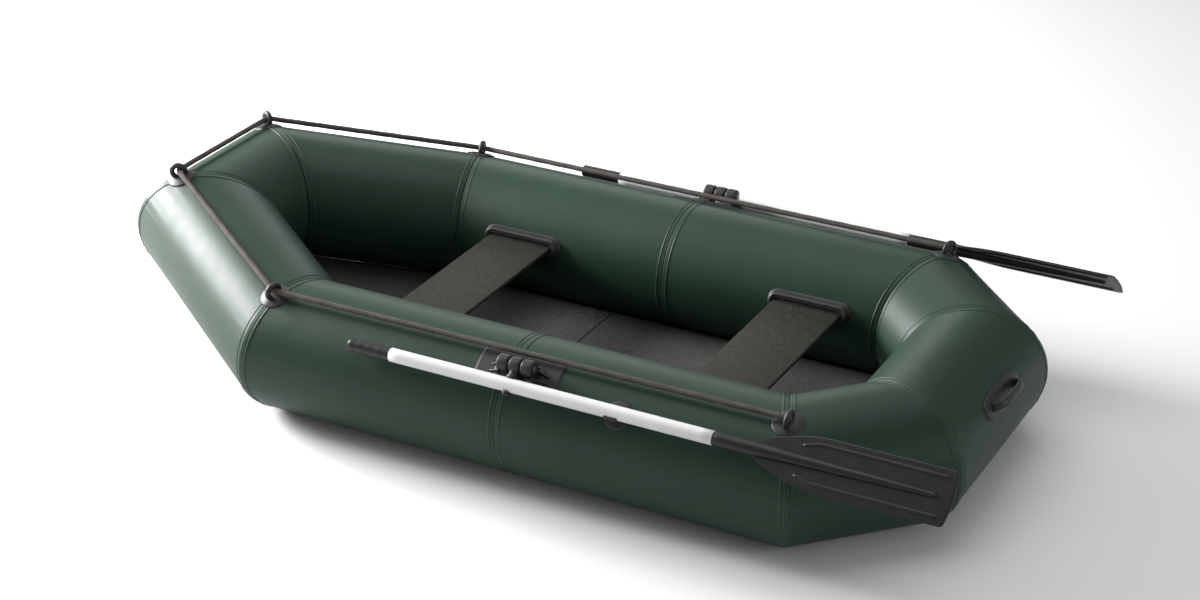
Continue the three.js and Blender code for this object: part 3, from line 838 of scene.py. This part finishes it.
def add_grip(side, body, flip):
    """A moulded handle with shallow finger waves and a rounded butt, plugged into the shaft."""
    start, end = GRIP_START, SHAFT_START - JOINT_GAP
    rings = [(0.001, start), (0.011, start + 0.0002), (0.0150, start + 0.0016), (0.0170, start + 0.0050)]
    for k in range(100):
        f = k / 99
        x = start + 0.010 + (end - 0.004 - start - 0.010) * f
        waves = GRIP_WAVE * math.cos(2 * math.pi * GRIP_WAVES * f) * min(1.0, 6 * f, 6 * (1 - f))
        rings.append((GRIP_R + waves, x))
    rings += [(0.0172, end - 0.002), (0.0168, end), (PLUG_R, end + 0.0004),
              (PLUG_R, SHAFT_START + PLUG_LENGTH), (0.001, SHAFT_START + PLUG_LENGTH)]
    Builder().lathe(rings, ALONG_X, 40).piece(f"oar_grip_{side}_handle", PLASTIC, body,
                                              replaces=[f"oar_grip_{side}"], slot="oar_plastic", flip=flip)


def spine_radius(x):
    """The spine tapers from the shank's radius to its rounded end."""
    f = max(0.0, (x - SPINE_START) / (SPINE_END - SPINE_START))
    return SHANK_R + (SPINE_END_R - SHANK_R) * min(1.0, f)


def blade_half(f):
    """Half the blade's width at a fraction of its length."""
    full = BLADE_WIDTH / 2
    if f < BLADE_SHOULDER:
        g = f / BLADE_SHOULDER
        return BLADE_NECK + (full - BLADE_NECK) * (1 - (1 - g) ** 1.9) ** 0.92
    return full


def add_blade(side, body, flip):
    """A flat blade with a round tapering spine and a thin rib on each side of it."""
    start, end = BLADE_START, BLADE_END
    # local z lies across the blade, local y out of its face
    m = basis(OAR_AXIS, (1, 0, 0), OAR_DOWN)
    along, across = 150, 96
    top, bottom = [], []
    rib_end = (RIB_END - start) / (end - start)
    for k in range(along + 1):
        f = k / along
        w = blade_half(f)
        row_t, row_b = [], []
        rib_at = RIB_NEAR + RIB_SPREAD * smooth((f - 0.24) / 0.10)
        rib_on = smooth((f - 0.235) / 0.02) * smooth((rib_end - f) / 0.006)
        for n in range(across + 1):
            v = -1 + 2 * n / across
            y = v * w
            x = start + (end - TIP_BULGE - start) * f
            corner = max(0.0, abs(y) - (BLADE_WIDTH / 2 - TIP_CORNER_R)) / TIP_CORNER_R
            bulge = TIP_BULGE * (1 - (y / w) ** 2)
            cut = TIP_CORNER_R * (1 - math.sqrt(max(0.0, 1 - corner ** 2)))
            x += (bulge - cut) * smooth((f - 0.9) / 0.1)
            rib = RIB_HEIGHT * rib_on * smooth((RIB_HALF - abs(abs(y) - rib_at)) / 0.0010)
            web = BLADE_WEB - 0.0004 * f
            edge = math.sqrt(max(0.0, 1 - abs(v) ** 40))
            tip = math.sqrt(max(0.0, 1 - max(0.0, (f - 0.992) / 0.008) ** 2))
            thick = max((web + rib) * edge * tip, 0.0002)
            row_t.append(m @ Vector((x, thick, y)))
            row_b.append(m @ Vector((x, -thick, y)))
        top.append(row_t)
        bottom.append(row_b)
    build = Builder()
    rows = [t + list(reversed(b))[1:-1] for t, b in zip(top, bottom)]
    build.grid(rows, closed=True, caps=(True, True))
    mouth = SHAFT_END + JOINT_GAP
    shank = [(0.001, SHAFT_END - PLUG_LENGTH), (PLUG_R, SHAFT_END - PLUG_LENGTH), (PLUG_R, mouth - 0.0004),
             (0.0162, mouth), (SHANK_R, mouth + 0.0008)]
    first, straight_end = 0.60, SPINE_END - SPINE_END_R
    for k in range(31):
        x = first + (straight_end - first) * k / 30
        shank.append((spine_radius(x), x))
    for k in range(1, 9):
        t = math.pi / 2 * k / 8.3
        shank.append((SPINE_END_R * 1.05 * math.cos(t), straight_end + SPINE_END_R * math.sin(t)))
    build.lathe(shank, ALONG_X, 48)
    build.piece(f"oar_blade_{side}_moulding", PLASTIC, body, replaces=[f"oar_blade_{side}"],
                slot="oar_plastic", flip=flip)


def hinge_frame():
    return basis(HINGE + Vector((LOCK_X, 0, 0)), (1, 0, 0), OAR_DOWN)


def barrel(build, middle, axis_point):
    """A knuckle: a plump drum about the hinge axis."""
    half = KNUCKLE_W / 2 - JOINT_GAP
    m = basis(Vector((middle, axis_point.y, axis_point.z)), (0, 1, 0), (1, 0, 0))
    rings = [(KNUCKLE_BORE, -half)]
    for k in range(25):
        u = -1 + 2 * k / 24
        rings.append((KNUCKLE_R * (1 - 0.42 * abs(u) ** 12) - 0.0010 * u * u, half * u))
    rings.append((KNUCKLE_BORE, half))
    build.lathe(rings + [rings[0]], m, 40)


def add_arm(side, body, flip):
    build = Builder()
    barrel(build, LOCK_X, HINGE)
    m = hinge_frame()
    # the stem flares into a collar that cups the shaft
    rows = []
    for z, a, b in ((0.010, 0.013, 0.013), (0.018, 0.0125, 0.0125), (0.024, 0.0115, 0.012),
                    (0.029, 0.013, 0.0125), (0.033, 0.0155, 0.0135), (0.036, 0.016, 0.014)):
        row = []
        for k in range(32):
            t = 2 * math.pi * k / 32
            row.append(m @ Vector((a * math.cos(t), b * math.sin(t), z)))
        rows.append(row)
    build.grid(rows, closed=True, caps=(True, True))
    build.piece(f"oarlock_arm_{side}_moulding", RUBBER, body, replaces=[f"oarlock_arm_{side}"],
                slot="black_moulding", flip=flip)


def add_pin(side, body, flip):
    m = hinge_frame()
    head = ARM + SHAFT_R + 0.0006
    rings = [(0.0, 0.022), (0.0044, 0.022), (0.0044, head - 0.001), (0.0088, head), (0.0102, head + 0.002),
             (0.0100, head + 0.006), (0.0078, head + 0.0092), (0.004, head + 0.0106), (0.0, head + 0.011)]
    Builder().lathe(rings, m, 32).piece(f"oar_pin_{side}_bolt", PLASTIC, body, replaces=[f"oar_pin_{side}"],
                                        slot="black_moulding", flip=flip)


def add_patch(side, flip):
    """A thin rubber sheet welded to the tube under the oarlock, with a soft bevelled edge."""
    m = on_port(LOCK_X - 0.006, PATCH_POLAR, 0)
    half_x, half_y = 0.114, 0.052
    rows = []
    steps_x, steps_y = 60, 30
    for k in range(steps_x + 1):
        u = -1 + 2 * k / steps_x
        row = []
        for n in range(steps_y + 1):
            v = -1 + 2 * n / steps_y
            arc = v * half_y / TUBE_R
            edge = min((1 - abs(u)) * half_x, (1 - abs(v)) * half_y)
            rise = 0.0004 + 0.0019 * min(1.0, edge / 0.0018)
            radius = TUBE_R + rise
            local = Vector((u * half_x, math.sin(arc) * radius, math.cos(arc) * radius - TUBE_R))
            row.append(m @ local)
        rows.append(row)
    build = Builder().grid(rows)
    build.piece(f"oarlock_patch_{side}_sheet", PATCH, "hull", replaces=[f"oarlock_patch_{side}"],
                slot="black_moulding", flip=flip)


def add_base(side, flip):
    """A saddle on the patch: two outer knuckles on feet, and tapering ribs to each end."""
    build = Builder()
    for middle in (LOCK_X - KNUCKLE_W, LOCK_X + KNUCKLE_W):
        barrel(build, middle, HINGE)
        foot_half = KNUCKLE_W / 2 - 0.0006
        to_tube = (Vector((0, -SIDE_Y, TUBE_R)) - Vector((0, HINGE.y, HINGE.z))).normalized()
        m = basis(Vector((middle, HINGE.y, HINGE.z)), (1, 0, 0), to_tube)
        rows = []
        for z, half_y in ((0.004, 0.0195), (0.012, 0.0185), (0.020, 0.019), (0.028, 0.022), (0.034, 0.027)):
            row = []
            for k in range(32):
                t = 2 * math.pi * k / 32
                c, s = math.cos(t), math.sin(t)
                row.append(m @ Vector((foot_half * squared_off(c, 0.35), half_y * squared_off(s, 0.6), z)))
            rows.append(row)
        build.grid(rows, closed=True, caps=(True, True))
    m = on_port(LOCK_X, PATCH_POLAR, 0)
    # the plate
    rows = []
    for offset, rise in ((0.0, 0.0022), (-0.0008, 0.0042), (-0.003, 0.0052), (-0.012, 0.0056),
                         (-0.024, 0.0056)):
        row = []
        for k in range(72):
            (px, py), (nx, ny) = stadium_point(BASE_LENGTH, BASE_HEIGHT, k / 72)
            qx, qy = px + nx * offset, py + ny * offset
            row.append(m @ Vector((qx, qy, rise - tube_drop(qy))))
        rows.append(row)
    build.grid(rows, closed=True, caps=(False, True))
    # a thin wing runs down from each outer knuckle to the end of the plate
    for sign in (-1, 1):
        for y, lean in ((0.012, 0.5), (-0.014, 0.2)):
            rows = []
            for k in range(13):
                f = k / 12
                x = sign * (1.5 * KNUCKLE_W - 0.003 + WING_LENGTH * f)
                tall = WING_HEIGHT * (1 - f) ** 1.3 + 0.0008
                wide = 0.0026 * (1 - 0.3 * f)
                yy = y * (1 - lean * f)
                base = 0.004 - tube_drop(yy)
                section = ((wide, 0.0), (wide * 0.8, tall * 0.85), (0.0, tall),
                           (-wide * 0.8, tall * 0.85), (-wide, 0.0))
                rows.append([m @ Vector((x, yy + dy, base + dz)) for dy, dz in section])
            if sign < 0:
                rows.reverse()
            build.grid(rows, closed=True, caps=(True, True))
    build.piece(f"oarlock_base_{side}_moulding", RUBBER, "hull", replaces=[f"oarlock_base_{side}"],
                slot="black_moulding", flip=flip)


def add_clip(side, flip):
    """A round pad with a square hook that the shaft drops into."""
    m = on_port(CLIP_X, CLIP_POLAR, 0)
    build = Builder()
    draped_disc(build, m, [(0.0365, 0.0003), (0.036, 0.0022), (0.034, 0.0032), (0.028, 0.0037),
                           (0.012, 0.004), (0.002, 0.004)])
    rise = math.hypot(OAR_Y + SIDE_Y, OAR_Z - TUBE_R) - TUBE_R
    inner, thick = SHAFT_R + 0.0006, 0.0042
    # the cradle's outline: up the shaft's outboard side, then curled over its lower third
    arc = [math.radians(a) for a in range(-88, 37, 8)]
    inside = [(-inner * math.cos(t), rise + inner * math.sin(t)) for t in arc]
    outer = inner + thick
    outside = [(-outer * math.cos(t), rise + outer * math.sin(t)) for t in reversed(arc[4:])]
    section = [(0.013, 0.002), (0.012, rise - SHAFT_R - 0.0015)] + inside + outside
    section.append((-inner - thick, 0.002))
    rows = []
    half = 0.017
    middle_y = sum(y for y, _ in section) / len(section)
    for f in (-1.0, -0.94, -0.85, -0.4, 0.0, 0.4, 0.85, 0.94, 1.0):
        ease = 0.0011 if abs(f) == 1.0 else 0.0
        rows.append([m @ Vector((f * half, y + math.copysign(ease, middle_y - y), z)) for y, z in section])
    build.grid(rows, closed=True, caps=(True, True))
    build.piece(f"oar_clip_{side}_moulding", RUBBER, "hull", replaces=[f"oar_clip_{side}"],
                slot="black_moulding", flip=flip)


for oar_side in ("port", "starboard"):
    other = oar_side == "starboard"
    rider = f"oar_{oar_side}_body"
    add_shaft(oar_side, rider, other)
    add_grip(oar_side, rider, other)
    add_blade(oar_side, rider, other)
    add_arm(oar_side, rider, other)
    add_pin(oar_side, rider, other)
    add_patch(oar_side, other)
    add_base(oar_side, other)
    add_clip(oar_side, other)
    restyle(f"oarlock_axle_{oar_side}", METAL, 0.0008)

# ---------------------------------------------------------------- stern handle


def add_handle():
    t = math.radians(HANDLE_TILT)
    normal = Vector((math.cos(t), 0, math.sin(t)))
    m = basis(Vector((STERN_X, 0, TUBE_R)) + normal * TUBE_R, (0, 1, 0), normal)
    half, wide = 0.110, 0.033

    def outline(f):
        """The long hexagon, as a rounded shape."""
        a = 2 * math.pi * f
        c, s = math.cos(a), math.sin(a)
        x = half * squared_off(c, 0.55)
        y = wide * squared_off(s, 0.55)
        limit = 1.0 - max(0.0, abs(x) / half - 0.70) / 0.30 * 0.52
        return x, max(-wide * limit, min(wide * limit, y))

    build = Builder()
    rows = []
    levels = ((1.0, 0.0003), (0.995, 0.0026), (0.97, 0.0038), (0.90, 0.0043), (0.5, 0.0046), (0.05, 0.0046))
    for scale, rise in levels:
        row = []
        for k in range(96):
            x, y = outline(k / 96)
            pulled = (1 - scale) * (half if scale <= 0.9 else 0.08)
            x = x - math.copysign(min(abs(x), pulled), x)
            y = y * scale
            row.append(drape(m @ Vector((x, y, 0)), normal, rise))
        rows.append(row)
    build.grid(rows, closed=True, caps=(False, True))
    build.piece("carry_handle_base_pad", RUBBER, "hull", replaces=["carry_handle_base"],
                slot="black_moulding")
    # the grip: a flat rounded bar that rises on two sloping legs
    grip = Builder()
    foot = 0.071
    leg = [(-foot, 0.004), (-0.068, 0.016), (-0.062, 0.026), (-0.050, 0.0335), (-0.030, 0.036)]
    path = leg + [(0.0, 0.0368)] + [(-px, pz) for px, pz in reversed(leg)]
    dense = []
    for k in range(len(path) - 1):
        for s in range(4):
            f = s / 4
            dense.append(tuple(path[k][c] * (1 - f) + path[k + 1][c] * f for c in (0, 1)))
    dense.append(path[-1])
    rows = []
    for k, (px, pz) in enumerate(dense):
        before, beyond = dense[max(k - 1, 0)], dense[min(k + 1, len(dense) - 1)]
        ahead = Vector((beyond[0] - before[0], 0, beyond[1] - before[1])).normalized()
        out = Vector((-ahead.z, 0, ahead.x))
        f = abs(px) / foot
        half_t = 0.0052 + 0.0012 * f
        half_w = 0.0105 + 0.001 * f
        row = []
        for s in range(20):
            a = 2 * math.pi * s / 20
            c, d = math.cos(a), math.sin(a)
            row.append(m @ (Vector((px, 0, pz)) + out * half_t * squared_off(c, 0.8)
                            + Vector((0, 1, 0)) * half_w * squared_off(d, 0.8)))
        rows.append(row)
    grip.grid(rows, closed=True, caps=(True, True))
    grip.piece("carry_handle_grip_bar", RUBBER, "hull", replaces=["carry_handle_grip"],
               slot="black_moulding")


add_handle()

# ---------------------------------------------------------------- valves


def add_valve(end, x):
    m = on_port(x, VALVE_POLAR, 0)
    build = Builder()
    bore, outer, depth = 0.0112, 0.0180, 0.02
    sleeve = [(bore, -depth), (bore, 0.0080), (bore, 0.0088), (0.0175, 0.0088), (outer, 0.0080),
              (outer, 0.0045), (outer, -depth)]
    build.lathe(sleeve + [sleeve[0]], m, 40)
    draped_disc(build, m, [(0.0292, 0.0003), (0.0288, 0.0022), (0.027, 0.0034), (0.020, 0.0040),
                           (0.017, 0.0042)], filled=False)
    build.piece(f"valve_body_{end}_moulding", RUBBER, "hull", replaces=[f"valve_body_{end}"],
                slot="black_moulding")
    cap = Builder()
    rings = [(0.0, 0.0065), (0.0085, 0.0065), (0.0085, 0.0093), (0.0182, 0.0093), (0.0190, 0.0099),
             (0.0190, 0.0115)]
    rings += [(0.0184, 0.0128), (0.0165, 0.0133), (0.0125, 0.0133), (0.0118, 0.0127), (0.0, 0.0127)]
    cap.lathe(rings, m, 40)
    tongue = []
    for y, half in ((0.017, 0.0052), (0.0215, 0.0050), (0.0235, 0.0046)):
        corners = ((-half, 0.0097), (half, 0.0097), (half, 0.0121), (-half, 0.0121))
        tongue.append([m @ Vector((x_at, y, z_at)) for x_at, z_at in corners])
    cap.grid(tongue, closed=True, caps=(True, True))
    cap.piece(f"valve_cap_{end}_lid", RUBBER, f"valve_cap_{end}_body", replaces=[f"valve_cap_{end}"],
              slot="black_moulding")
    restyle(f"valve_plunger_{end}", PLASTIC, 0.0004)


for valve_end, valve_at in (("fore", -VALVE_X), ("aft", VALVE_X)):
    add_valve(valve_end, valve_at)

# ---------------------------------------------------------------- floor, light


def add_stage():
    size = 60.0
    mesh = bpy.data.meshes.new("studio_floor")
    corners = [(-size, -size, 0), (size, -size, 0), (size, size, 0), (-size, size, 0)]
    mesh.from_pydata(corners, [], [(0, 1, 2, 3)])
    m = Mat("studio_white", 0.9, specular=0.1)
    m.colour(m.ramp(m.noise(0.5), [(0.0, (0.72, 0.72, 0.72)), (1.0, (0.74, 0.74, 0.74))]))
    mesh.materials.append(m.mat)
    floor = bpy.data.objects.new("studio_floor", mesh)
    floor.location.z = -0.0005
    bpy.context.scene.collection.objects.link(floor)


def add_light(name, at, target, size, power):
    light = bpy.data.lights.new(name, "AREA")
    light.shape = "RECTANGLE"
    light.size, light.size_y = size
    light.energy = power
    obj = bpy.data.objects.new(name, light)
    obj.location = at
    obj.rotation_euler = (Vector(at) - Vector(target)).to_track_quat("Z", "Y").to_euler()
    bpy.context.scene.collection.objects.link(obj)


def add_world():
    world = bpy.data.worlds.new("studio")
    world.use_nodes = True
    back = world.node_tree.nodes["Background"]
    back.inputs["Color"].default_value = (1, 1, 1, 1)
    back.inputs["Strength"].default_value = 0.40
    bpy.context.scene.world = world


add_stage()
add_world()
add_light("key_top", (-0.4, 0.6, 4.4), (0, 0, 0.2), (5.0, 3.6), 100)
add_light("left_soft", (-4.6, -0.35, 1.9), (-0.9, -0.1, 0.3), (2.2, 1.9), 740)
add_light("back_soft", (-2.4, 4.2, 2.2), (-0.4, 0, 0.3), (3.0, 1.4), 40)
add_light("right_soft", (4.8, -0.4, 1.5), (0.9, 0, 0.2), (1.6, 1.6), 32)

bpy.context.scene.view_settings.view_transform = "Standard"
